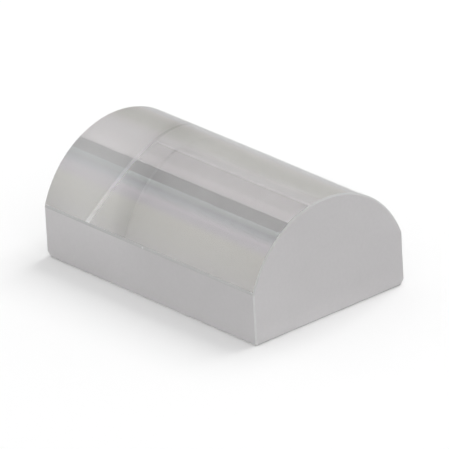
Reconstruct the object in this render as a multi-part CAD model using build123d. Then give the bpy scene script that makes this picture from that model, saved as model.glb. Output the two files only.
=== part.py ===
from build123d import *
import os

# A plano-convex cylindrical lens: one bar of clear optical glass with a D-shaped section.
# Millimetres, with the origin at the centre of the flat face that the lens stands on.
# X runs along the straight direction of the curve, Y across it, and the convex face is up, +Z.

# Driving dimensions
lens_length = 20.0
lens_width = 12.5
centre_thickness = 8.0
# Height of the upright sides, from the flat face to where the curve starts
edge_thickness = 3.52
# Leg of the 45 degree protective bevel, on the end arcs, the corners and round the flat face
bevel_leg = 0.1


def d_section():
    """The lens's section across its axis: a flat base, two upright sides and the convex arc.

    The width and the two thicknesses fix the arc. With the sizes above its radius is 6.6 mm.
    """
    left = -lens_width / 2
    right = lens_width / 2
    with BuildSketch(Plane.YZ) as section:
        with BuildLine():
            Polyline((left, edge_thickness), (left, 0), (right, 0), (right, edge_thickness))
            ThreePointArc((right, edge_thickness), (0, centre_thickness), (left, edge_thickness))
        make_face()
    return section.sketch


def glass_bar():
    """The bar as it is generated and cut to length, with sharp edges."""
    return extrude(d_section(), amount=lens_length / 2, both=True)


def protected_edges(bar):
    """Every edge of the bar but the two long ones where the convex face runs out into a side.

    Those two are blunt already, because the arc meets the side at a small angle.
    """
    long_edges = bar.edges().filter_by(Axis.X)
    base_edges = long_edges.group_by(Axis.Z)[0]
    return bar.edges() - long_edges + base_edges


def cylindrical_lens():
    """The finished lens, with its narrow protective bevels."""
    bar = glass_bar()
    return chamfer(protected_edges(bar), length=bevel_leg)


os.makedirs("parts", exist_ok=True)
lens = cylindrical_lens()
lens.label = "lens"
export_step(lens, "parts/lens.step")
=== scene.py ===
import math

import bmesh
import bpy
from mathutils import Matrix, Vector

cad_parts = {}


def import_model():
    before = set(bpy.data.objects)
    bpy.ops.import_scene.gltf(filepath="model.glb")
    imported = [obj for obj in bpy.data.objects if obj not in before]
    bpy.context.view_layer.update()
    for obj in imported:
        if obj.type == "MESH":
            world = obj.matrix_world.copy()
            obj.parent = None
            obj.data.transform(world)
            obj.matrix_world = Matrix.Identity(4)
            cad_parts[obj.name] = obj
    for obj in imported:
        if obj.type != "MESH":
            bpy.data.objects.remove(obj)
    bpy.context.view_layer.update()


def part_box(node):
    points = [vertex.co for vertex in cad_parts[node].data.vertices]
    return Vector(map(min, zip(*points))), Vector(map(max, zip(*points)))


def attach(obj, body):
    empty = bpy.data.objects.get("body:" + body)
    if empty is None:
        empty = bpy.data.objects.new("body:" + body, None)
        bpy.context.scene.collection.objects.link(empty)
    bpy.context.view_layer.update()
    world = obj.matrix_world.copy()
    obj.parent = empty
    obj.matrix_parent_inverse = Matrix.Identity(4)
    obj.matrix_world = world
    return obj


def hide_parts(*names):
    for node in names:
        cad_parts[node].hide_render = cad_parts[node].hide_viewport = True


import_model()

# A plano-convex cylindrical lens: one bar of clear glass, polished above and below, ground at
# its sides and ends. Metres. X is the straight direction of the curve, with the near end at +X.
# Y goes to the rear side, and Z is the optical axis.

# The shape of the bar: its box, the height of its upright sides, and the leg of its bevels
low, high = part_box("lens")
LENGTH = high[0] - low[0]
WIDTH = high[1] - low[1]
CENTRE = high[2] - low[2]
EDGE = 0.00352
BEVEL = 0.0001

# The convex arc's radius, and the height of its centre above the base
HALF = WIDTH / 2
SAGITTA = CENTRE - EDGE
RADIUS = (HALF * HALF + SAGITTA * SAGITTA) / (2 * SAGITTA)
AXIS_Z = CENTRE - RADIUS

# The radius that blunts the two long edges where the convex face runs out into a side, the
# height of its centre, and the turn from the top at which it takes over from the arc
BLUNT = 0.0006
BLUNT_Z = AXIS_Z + math.sqrt((RADIUS - BLUNT) ** 2 - (HALF - BLUNT) ** 2)
BLUNT_TURN = math.asin((HALF - BLUNT) / (RADIUS - BLUNT))

# The leg of the wider bevel at the far end of the base
FAR_LEG = 0.00017

# Bottom corners that are slightly knocked off: which end of X, which side of Y, and how far the
# cut reaches along X, Y and Z
KNOCKED_CORNERS = [
    (-1, -1, (0.00045, 0.00035, 0.0005)),
    (1, 1, (0.00035, 0.0004, 0.0005)),
    (1, -1, (0.0002, 0.00015, 0.0002)),
]

# How finely the mesh is divided: round the arc, along the bar, and round each blunted edge
ARC_STEPS = 420
BAR_STEPS = 60
BLUNT_STEPS = 8

# Distances below which the mesh tools take two points for one
SAME_PLACE = 1e-8
MERGE = 1e-7

# The materials, by the numbers that the faces carry
(POLISHED, BASE, FRONT, REAR, NEAR_END, FAR_END, ARC_BEVEL, BASE_BEVEL, CORNER_BEVEL,
 BLUNT_EDGE, FAR_BEVEL) = range(11)


def around(centre_y, centre_z, radius, turn):
    """A point round a circle in the section's plane. turn is 0 at the top, positive to the rear."""
    return centre_y + radius * math.sin(turn), centre_z + radius * math.cos(turn)


def section(inset, bevel):
    """The section's outline moved inwards by inset, from the front side over the arc.

    bevel is how far a base bevel goes from the sharp corner, along the base and up the side.
    """
    quarter = math.pi / 2
    rest = quarter - BLUNT_TURN
    points = [around(BLUNT - HALF, BLUNT_Z, BLUNT - inset, rest * i / BLUNT_STEPS - quarter)
              for i in range(BLUNT_STEPS)]
    points += [around(0, AXIS_Z, RADIUS - inset, BLUNT_TURN * (2 * i / ARC_STEPS - 1))
               for i in range(ARC_STEPS)]
    points += [around(HALF - BLUNT, BLUNT_Z, BLUNT - inset, BLUNT_TURN + rest * i / BLUNT_STEPS)
               for i in range(BLUNT_STEPS + 1)]
    points += [(HALF - inset, bevel), (HALF - bevel, inset)]
    points += [(bevel - HALF, inset), (inset - HALF, bevel)]
    return points


def strip_kinds():
    """The material of each strip between two points of the section."""
    kinds = [BLUNT_EDGE] * BLUNT_STEPS + [POLISHED] * ARC_STEPS + [BLUNT_EDGE] * BLUNT_STEPS
    return kinds + [REAR, BASE_BEVEL, BASE, BASE_BEVEL, FRONT]


def end_kind(kind):
    """The material of a strip where it turns into the bevel round an end."""
    if kind in (POLISHED, BLUNT_EDGE):
        return ARC_BEVEL
    if kind in (FRONT, REAR):
        return CORNER_BEVEL
    return BASE_BEVEL


def build_bar(bm):
    """The bar with its bevels, as rings of points along X, each joined to the next."""
    end = LENGTH / 2
    half_bevel = BEVEL / 2
    straight = [BEVEL + (LENGTH - 2 * BEVEL) * i / BAR_STEPS for i in range(BAR_STEPS + 1)]
    whole = section(0, BEVEL)
    middle = section(half_bevel, half_bevel)
    cap = section(BEVEL, BEVEL)
    stations = [(-end, cap), (half_bevel - end, middle)]
    stations += [(along - end, whole) for along in straight]
    stations += [(end - half_bevel, middle), (end, cap)]
    rings = [[bm.verts.new((x, y, z)) for y, z in outline] for x, outline in stations]

    kinds = strip_kinds()
    last = len(rings) - 1
    for j in range(last):
        at_end = j < 2 or j >= last - 2
        for i, kind in enumerate(kinds):
            k = (i + 1) % len(kinds)
            face = bm.faces.new((rings[j][i], rings[j][k], rings[j + 1][k], rings[j + 1][i]))
            face.material_index = end_kind(kind) if at_end else kind
            face.smooth = face.material_index in (POLISHED, BLUNT_EDGE)
    bm.faces.new(rings[0]).material_index = FAR_END
    bm.faces.new(rings[-1]).material_index = NEAR_END
    bmesh.ops.remove_doubles(bm, verts=bm.verts, dist=MERGE)
    bmesh.ops.dissolve_degenerate(bm, dist=SAME_PLACE, edges=bm.edges)


def grind(bm, on_plane, outward, kind):
    """Takes off all that lies outside a plane, and closes the cut with a face of that kind."""
    parts = bm.verts[:] + bm.edges[:] + bm.faces[:]
    cut = bmesh.ops.bisect_plane(bm, geom=parts, dist=SAME_PLACE, plane_co=on_plane,
                                 plane_no=outward, clear_outer=True)
    rim = [part for part in cut["geom_cut"] if isinstance(part, bmesh.types.BMEdge)]
    for face in bmesh.ops.contextual_create(bm, geom=rim)["faces"]:
        face.material_index = kind


def knock_corner(bm, x_side, y_side, reach):
    """Takes a bottom corner off. reach is how far the cut goes along X, Y and Z."""
    corner = Vector((x_side * LENGTH / 2, y_side * HALF, 0))
    outward = Vector((x_side / reach[0], y_side / reach[1], -1 / reach[2])).normalized()
    grind(bm, corner - Vector((x_side * reach[0], 0, 0)), outward, CORNER_BEVEL)


def lens_mesh():
    """The whole lens. Only the convex face and the blunted edges are shaded smooth."""
    bm = bmesh.new()
    build_bar(bm)
    far_bevel = Vector((FAR_LEG - LENGTH / 2, 0, 0))
    grind(bm, far_bevel, Vector((-1, 0, -1)).normalized(), FAR_BEVEL)
    for corner in KNOCKED_CORNERS:
        knock_corner(bm, *corner)
    bmesh.ops.recalc_face_normals(bm, faces=bm.faces)
    for edge in bm.edges:
        if not all(face.smooth for face in edge.link_faces):
            edge.smooth = False
    mesh = bpy.data.meshes.new("lens_glass")
    bm.to_mesh(mesh)
    bm.free()
    return mesh


# Refractive index, as of fused silica
INDEX = 1.458

# How high the relief of a surface's bump is
BUMP_HEIGHT = 0.00001

# Most of a noise node's own values lie between these two
NOISE_LOW = 0.3
NOISE_HIGH = 0.7


class Graph:
    """The nodes of a material or a world. A value is a fixed one, or another node's output."""

    def __init__(self, owner):
        owner.use_nodes = True
        self.nodes = owner.node_tree.nodes
        self.links = owner.node_tree.links

    def feed(self, socket, value):
        """Links a socket to the output that value is, or sets it to value."""
        if isinstance(value, bpy.types.NodeSocket):
            self.links.new(value, socket)
        else:
            socket.default_value = value

    def set(self, node, **values):
        """Feeds a node's inputs by name, with _ for each space in the name."""
        for name, value in values.items():
            self.feed(node.inputs[name.replace("_", " ")], value)

    def add(self, kind, **values):
        """A new node, with its inputs fed."""
        node = self.nodes.new("ShaderNode" + kind)
        self.set(node, **values)
        return node

    def math(self, operation, *values, kind="Math"):
        """The result of a Math or VectorMath node."""
        node = self.nodes.new("ShaderNode" + kind)
        node.operation = operation
        for socket, value in zip(node.inputs, values):
            self.feed(socket, value)
        return node.outputs["Value"]

    def times(self, first, second):
        return self.math("MULTIPLY", first, second)

    def remap(self, value, to_min, to_max, from_min=0, from_max=1):
        """value moved from one range to the other, and held inside it."""
        node = self.add("MapRange", Value=value, From_Min=from_min, From_Max=from_max,
                        To_Min=to_min, To_Max=to_max)
        return node.outputs["Result"]

    def ramp(self, value, stops, interpolation="LINEAR"):
        """A colour that changes with value. stops are (place from 0 to 1, colour), rising."""
        node = self.add("ValToRGB", Fac=value)
        node.color_ramp.interpolation = interpolation
        elements = node.color_ramp.elements
        while len(elements) < len(stops):
            elements.new(1)
        for element, (place, colour) in zip(elements, stops):
            element.position = place
        # Moving a stop may sort them, so the colours wait until all are in place.
        for element, (place, colour) in zip(elements, stops):
            element.color = (*colour, 1)
        return node.outputs["Color"]

    def noise(self, place, per_metre, least, most, detail=2):
        """Noise of about that many grains per metre, most of it between least and most."""
        grain = self.add("TexNoise", Vector=place, Scale=per_metre, Detail=detail)
        return self.remap(grain.outputs["Fac"], least, most, NOISE_LOW, NOISE_HIGH)

    def bump(self, place, per_metre, strength, detail=2):
        """A surface direction that noise of about that many grains per metre disturbs."""
        height = self.noise(place, per_metre, 0, 1, detail)
        node = self.add("Bump", Strength=strength, Distance=BUMP_HEIGHT, Height=height)
        return node.outputs["Normal"]

    def slope(self, place, axis, stops):
        """A value that changes along one axis of the object. stops are (metres, value) pairs."""
        first, last = stops[0][0], stops[-1][0]
        top = max(value for at, value in stops)
        along = self.add("SeparateXYZ", Vector=place).outputs[axis]
        share = self.remap(along, 0, 1, from_min=first, from_max=last)
        levels = [((at - first) / (last - first), (value / top,) * 3) for at, value in stops]
        return self.times(self.ramp(share, levels, "EASE"), top)


# Greys of the ground sides and ends from outside, and how matt they are
SIDE_GREY = 0.548
END_GREY = 0.595
SIDE_ROUGH = 0.55
END_ROUGH = 0.9
BEVEL_ROUGH = 0.5

# How far the grey and the roughness of ground glass vary, each way
MOTTLE = 0.012
ROUGH_SPREAD = 0.03

# The front side and the near end are a trace warmer than neutral
WARM = (1.011, 0.990, 1.001)

# The far bevel fades between these two places across the lens, both its grey, which is painted
# light, and its share of clear light
FADE_FROM = 0.0034
FADE_TO = 0.0041

# A small spot of painted light on the front side line: its middle, the radii where it starts and
# stops fading, and how much lighter its middle is
LIGHT_SPOT = (-0.0005, -0.00622, 0.0035)
LIGHT_SPOT_CORE = 0.00004
LIGHT_SPOT_RIM = 0.0001
LIGHT_SPOT_GAIN = 1.5


def new_material(name):
    """A new material, its graph and its shader node."""
    material = bpy.data.materials.new(name)
    graph = Graph(material)
    return material, graph, graph.nodes["Principled BSDF"]


def polished_glass(name, tone):
    """Clear polished glass with the faintest cleaning smears. tone is its own grey, kept darker on
    the base as painted shade.
    """
    material, graph, shader = new_material(name)
    place = graph.add("TexCoord").outputs["Object"]
    # The smears are five times as long across the lens as along it, and lie a little askew.
    wiped = graph.add("Mapping", Vector=place, Rotation=(0, 0, 0.25), Scale=(1, 0.2, 0.2))
    graph.set(shader,
              Transmission_Weight=1,
              IOR=INDEX,
              Roughness=graph.noise(wiped.outputs["Vector"], per_metre=600, least=0, most=0.01,
                                    detail=3),
              Base_Color=graph.noise(place, per_metre=180, least=tone - 0.004, most=tone + 0.004),
              Normal=graph.bump(place, per_metre=300, strength=0.004))
    return material


def ground_glass(name, grey, clear, roughness=BEVEL_ROUGH, hue=None, painted_light_slopes=(), outside=None,
                 painted_light_spot=False):
    """Fine-ground glass: a grey with soft mottling, a matt grain and a share of clear light.

    clear is that share, a number or an (axis, stops) pair. The slope pairs, (axis, stops) pairs
    that the grey is multiplied by, paint light and shade across the face. outside is its grey from
    outside the glass, where that differs, and the grey is then a lighter tone seen from inside:
    painted light. The glass can also carry a small painted light spot on the front side line.
    """
    material, graph, shader = new_material(name)
    place = graph.add("TexCoord").outputs["Object"]
    soft = graph.noise(place, per_metre=350, least=grey * (1 - MOTTLE), most=grey * (1 + MOTTLE))
    fine = graph.noise(place, per_metre=4500, least=1 - MOTTLE, most=1 + MOTTLE, detail=1)
    tone = graph.times(soft, fine)
    # Painted light and shade: the grey made lighter or darker along an axis of the object
    for axis, stops in painted_light_slopes:
        tone = graph.times(tone, graph.slope(place, axis, stops))
    # A painted light spot, lightest in its middle and fading out towards its rim
    if painted_light_spot:
        away = graph.math("DISTANCE", place, LIGHT_SPOT, kind="VectorMath")
        spot = graph.remap(away, LIGHT_SPOT_GAIN, 1, from_min=LIGHT_SPOT_CORE, from_max=LIGHT_SPOT_RIM)
        tone = graph.times(tone, spot)
    # Painted light: from inside the glass the grey is lighter than from outside
    if outside is not None:
        inside = graph.add("NewGeometry").outputs["Backfacing"]
        tone = graph.times(tone, graph.remap(inside, outside / grey, 1))
    if hue is not None:
        red, green, blue = (graph.times(tone, part) for part in hue)
        tone = graph.add("CombineColor", Red=red, Green=green, Blue=blue).outputs["Color"]
    if isinstance(clear, tuple):
        clear = graph.slope(place, *clear)
    graph.set(shader,
              Base_Color=tone,
              Transmission_Weight=clear,
              IOR=INDEX,
              Roughness=graph.noise(place, per_metre=900, least=roughness - ROUGH_SPREAD,
                                    most=roughness + ROUGH_SPREAD),
              Normal=graph.bump(place, per_metre=9000, strength=0.03, detail=3))
    return material


def lens_materials():
    """The lens's materials, in the order of the numbers that its faces carry."""
    return [
        polished_glass("glass_polished", tone=0.98),
        # Painted shade: the base is a darker grey than the top, which darkens what shows through it
        # from under the lens
        polished_glass("glass_polished_base", tone=0.93),
        # Painted shading: the front side is lighter towards the far end and towards the top
        ground_glass("glass_ground_front", SIDE_GREY, clear=0.22, roughness=SIDE_ROUGH, hue=WARM,
                     painted_light_slopes=[("X", [(-0.0035, 1.05), (0.001, 0.952)]),
                             ("Z", [(0.0002, 0.988), (0.0033, 1.012)])]),
        # Painted light: seen from inside, the rear side is a much lighter grey than from outside,
        # and it darkens towards the near end
        ground_glass("glass_ground_rear", 0.755, clear=0.08, roughness=SIDE_ROUGH,
                     painted_light_slopes=[("X", [(-0.006, 1), (0.003, 0.93)])], outside=SIDE_GREY),
        # Painted light: the near end is lighter along its bottom and towards the rear side
        ground_glass("glass_ground_near_end", END_GREY, clear=0.3, roughness=END_ROUGH, hue=WARM,
                     painted_light_slopes=[("Z", [(0.0002, 1.06), (0.0016, 1)]),
                             ("Y", [(-0.004, 1), (0.006, 1.03)])]),
        # Painted light: seen from inside, the far end is near white, far lighter than from outside
        ground_glass("glass_ground_far_end", 0.95, roughness=END_ROUGH, outside=END_GREY,
                     clear=("Y", [(-0.006, 0.08), (0, 0.05), (0.0022, 0.05), (0.0033, 0.1),
                                  (0.0043, 0.01)])),
        ground_glass("glass_bevel_arc", 0.55, clear=0.2),
        ground_glass("glass_bevel_base", 0.5, clear=0.05),
        ground_glass("glass_bevel_corner", 0.6, clear=0.1),
        # Partly painted shade: the blunted edges are rounded for real, and their grey, darker than
        # the sides', paints part of the dark line along them. A small painted light spot sits on
        # the front one.
        ground_glass("glass_blunt_edge", 0.47, clear=0.1, painted_light_spot=True),
        # Partly painted light: the far bevel is real, and its light grey, fading out across the
        # lens towards the rear, paints the bright line it shows when seen through the glass
        ground_glass("glass_bevel_far", 0.9, clear=("Y", [(FADE_FROM, 0.36), (FADE_TO, 0.05)]),
                     painted_light_slopes=[("Y", [(FADE_FROM, 1), (FADE_TO, 0.72)])]),
    ]


lens = bpy.data.objects.new("lens_glass", lens_mesh())
bpy.context.scene.collection.objects.link(lens)
for material in lens_materials():
    lens.data.materials.append(material)
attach(lens, "root")
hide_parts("lens")


# The floor: how far it reaches, how far it lies below the base, and its pale grey
FLOOR_REACH = 3.0
FLOOR_DROP = 0.00002
FLOOR_GREY = 0.925

# The strength of the soft fill from all round, where 1 is white
WORLD_FILL = 0.8

# The lamps: their distance, the side of their square, and how bright each is, where 1 is white
LAMP_AWAY = 0.7
LAMP_SIDE = 0.4
KEY_BACK = 3.6
FILL_RIGHT = 0.5

# Two ring-shaped panels of light on the left, that only reflections see: how far off they are,
# the ring's middle and half its breadth as seen from the lens, and the steps of its mesh
PANEL_AWAY = 0.6
PANEL_RING = math.radians(46)
PANEL_SPREAD = math.radians(9)
PANEL_STEPS = 24

# Each panel's light along its ring: degrees round X from straight up towards the front, the
# light, and its tint. No part of a tint is more than TINT_MOST.
ROSE = (1.04, 0.97, 0.98)
LILAC = (1.03, 0.94, 1.02)
SKY = (0.93, 1.0, 1.08)
MINT = (0.93, 1.04, 1.04)
STRAW = (1.05, 1.02, 0.88)
TINT_MOST = 1.1
BACK_STOPS = [(-112, 0.3, ROSE), (-100, 0.8, ROSE), (-70, 0.8, STRAW), (-56, 1.1, STRAW),
              (-36, 2.3, ROSE), (-16, 3.2, ROSE), (-8, 4.0, ROSE), (-0.6, 3.7, ROSE)]
FRONT_STOPS = [(14.3, 2.6, MINT), (18, 2.1, MINT), (22, 1.6, SKY), (26, 2.3, SKY),
               (34, 3.6, LILAC), (40, 3.1, LILAC), (48, 3.5, STRAW), (68, 2.8, STRAW),
               (98, 2.0, ROSE)]

# The card that the crest reflects: its near edges, its far edges, its height and its grey
CARD_NEAR_X = -0.012
CARD_NEAR_Y = 0.015
CARD_FAR = 0.35
CARD_Z = 0.0004
CARD_GREY = 0.77


def new_object(name, points, faces, material):
    """An object of the stage, in the scene, with one material."""
    mesh = bpy.data.meshes.new(name)
    mesh.from_pydata(points, [], faces)
    mesh.materials.append(material)
    thing = bpy.data.objects.new(name, mesh)
    bpy.context.scene.collection.objects.link(thing)
    return thing


def show_to_reflections_only(thing):
    """Hides an object from all but the rays that a polished surface reflects."""
    thing.visible_camera = False
    thing.visible_diffuse = False
    thing.visible_transmission = False


def floor():
    """The plain pale floor, square and matt."""
    material, graph, shader = new_material("floor")
    graph.set(shader, Base_Color=(FLOOR_GREY, FLOOR_GREY, FLOOR_GREY, 1), Roughness=1,
              Specular_IOR_Level=0)
    corners = [(x * FLOOR_REACH, y * FLOOR_REACH, -FLOOR_DROP)
               for x, y in ((-1, -1), (1, -1), (1, 1), (-1, 1))]
    plane = new_object("floor", corners, [(0, 1, 2, 3)], material)


def lamp(name, towards, radiance):
    """A square area lamp that looks at the lens from the direction towards."""
    data = bpy.data.lights.new(name, "AREA")
    data.shape = "SQUARE"
    data.size = LAMP_SIDE
    data.energy = radiance * math.pi * LAMP_SIDE * LAMP_SIDE
    back = Vector(towards).normalized()
    side = Vector((0, 0, 1)).cross(back).normalized()
    up = back.cross(side)
    turn = Matrix((side, up, back)).transposed().to_4x4()
    holder = bpy.data.objects.new(name, data)
    holder.matrix_world = Matrix.Translation(back * LAMP_AWAY) @ turn
    bpy.context.scene.collection.objects.link(holder)


def panel_material(name, stops):
    """Light that changes with the angle round the panel's own X axis."""
    material = bpy.data.materials.new(name)
    graph = Graph(material)
    graph.nodes.clear()
    first, last = stops[0][0], stops[-1][0]
    brightest = TINT_MOST * max(light for angle, light, tint in stops)
    levels = [((angle - first) / (last - first), [light * part / brightest for part in tint])
              for angle, light, tint in stops]
    place = graph.add("SeparateXYZ", Vector=graph.add("TexCoord").outputs["Object"]).outputs
    turn = graph.math("ARCTAN2", graph.times(place["Y"], -1), place["Z"])
    share = graph.remap(turn, 0, 1, from_min=math.radians(first), from_max=math.radians(last))
    shine = graph.add("Emission", Color=graph.ramp(share, levels), Strength=brightest)
    graph.add("OutputMaterial", Surface=shine.outputs["Emission"])
    return material


def light_panel(name, stops):
    """A part of a flat ring on the left, square to X, from the first stop's angle to the last's."""
    inner = PANEL_AWAY * math.tan(PANEL_RING - PANEL_SPREAD)
    outer = PANEL_AWAY * math.tan(PANEL_RING + PANEL_SPREAD)
    first, last = stops[0][0], stops[-1][0]
    points = []
    for i in range(PANEL_STEPS + 1):
        angle = math.radians(first + (last - first) * i / PANEL_STEPS)
        for radius in (inner, outer):
            points.append((0, -radius * math.sin(angle), radius * math.cos(angle)))
    faces = [(2 * i, 2 * i + 1, 2 * i + 3, 2 * i + 2) for i in range(PANEL_STEPS)]
    panel = new_object(name, points, faces, panel_material(name, stops))
    panel.location = (-PANEL_AWAY, 0, CENTRE / 2)
    show_to_reflections_only(panel)


def grey_card():
    """A card over the floor, behind the lens and to its left, for the polish to reflect."""
    material, graph, shader = new_material("grey_card")
    graph.set(shader, Base_Color=(0, 0, 0, 1), Specular_IOR_Level=0,
              Emission_Color=(1, 1, 1, 1), Emission_Strength=CARD_GREY)
    corners = [(-CARD_FAR, CARD_NEAR_Y, CARD_Z), (CARD_NEAR_X, CARD_NEAR_Y, CARD_Z),
               (CARD_NEAR_X, CARD_FAR, CARD_Z), (-CARD_FAR, CARD_FAR, CARD_Z)]
    card = new_object("grey_card", corners, [(0, 1, 2, 3)], material)
    show_to_reflections_only(card)
    card.visible_shadow = False


def world():
    """White where the camera, the polish or the clear glass looks, and soft fill elsewhere.

    What is seen by way of a diffuse surface gets the fill too.
    """
    background = bpy.data.worlds.new("studio")
    bpy.context.scene.world = background
    graph = Graph(background)
    path = graph.add("LightPath").outputs
    seen = graph.math("MAXIMUM", path["Is Camera Ray"], path["Is Glossy Ray"])
    seen = graph.math("MAXIMUM", seen, path["Is Transmission Ray"])
    no_diffuse_yet = graph.math("LESS_THAN", path["Diffuse Depth"], 0.5)
    level = graph.remap(graph.times(seen, no_diffuse_yet), WORLD_FILL, 1)
    graph.set(graph.nodes["Background"], Color=(1, 1, 1, 1), Strength=level)


floor()
world()
light_panel("panel_back", BACK_STOPS)
light_panel("panel_front", FRONT_STOPS)
grey_card()
lamp("key_back", (0, 0.6, 0.8), KEY_BACK)
lamp("fill_right", (0.69, -0.30, 0.62), FILL_RIGHT)


# The camera, as the photograph's: its direction from the lens, with the azimuth turned from the
# front towards the near end, its roll, and its distance
AZIMUTH = math.radians(49.79)
ELEVATION = math.radians(24.45)
ROLL = math.radians(-3.19)
DISTANCE = 50 * WIDTH

# The frame in pixels: its side, pixels per metre at the lens, and where the lens's middle is
FRAME = 449
PIXELS = 198.53 / WIDTH
MIDDLE_ACROSS = 221.79
MIDDLE_DOWN = 211.96
SENSOR = 36


def camera():
    """A camera that looks at the lens from the photograph's side, and frames it as there."""
    back = Vector((math.sin(AZIMUTH) * math.cos(ELEVATION),
                   -math.cos(AZIMUTH) * math.cos(ELEVATION),
                   math.sin(ELEVATION)))
    level_right = Vector((0, 0, 1)).cross(back).normalized()
    level_up = back.cross(level_right)
    right = math.cos(ROLL) * level_right + math.sin(ROLL) * level_up
    up = -math.sin(ROLL) * level_right + math.cos(ROLL) * level_up
    data = bpy.data.cameras.new("camera")
    data.sensor_width = SENSOR
    data.lens = SENSOR * PIXELS * DISTANCE / FRAME
    data.clip_start = 0.01
    data.clip_end = 10
    shift = right * (FRAME / 2 - MIDDLE_ACROSS) / PIXELS - up * (FRAME / 2 - MIDDLE_DOWN) / PIXELS
    place = Vector((0, 0, CENTRE / 2)) + back * DISTANCE + shift
    turn = Matrix((right, up, back)).transposed().to_4x4()
    holder = bpy.data.objects.new("camera", data)
    holder.matrix_world = Matrix.Translation(place) @ turn
    bpy.context.scene.collection.objects.link(holder)
    bpy.context.scene.camera = holder


camera()
bpy.context.scene.view_settings.view_transform = "Standard"
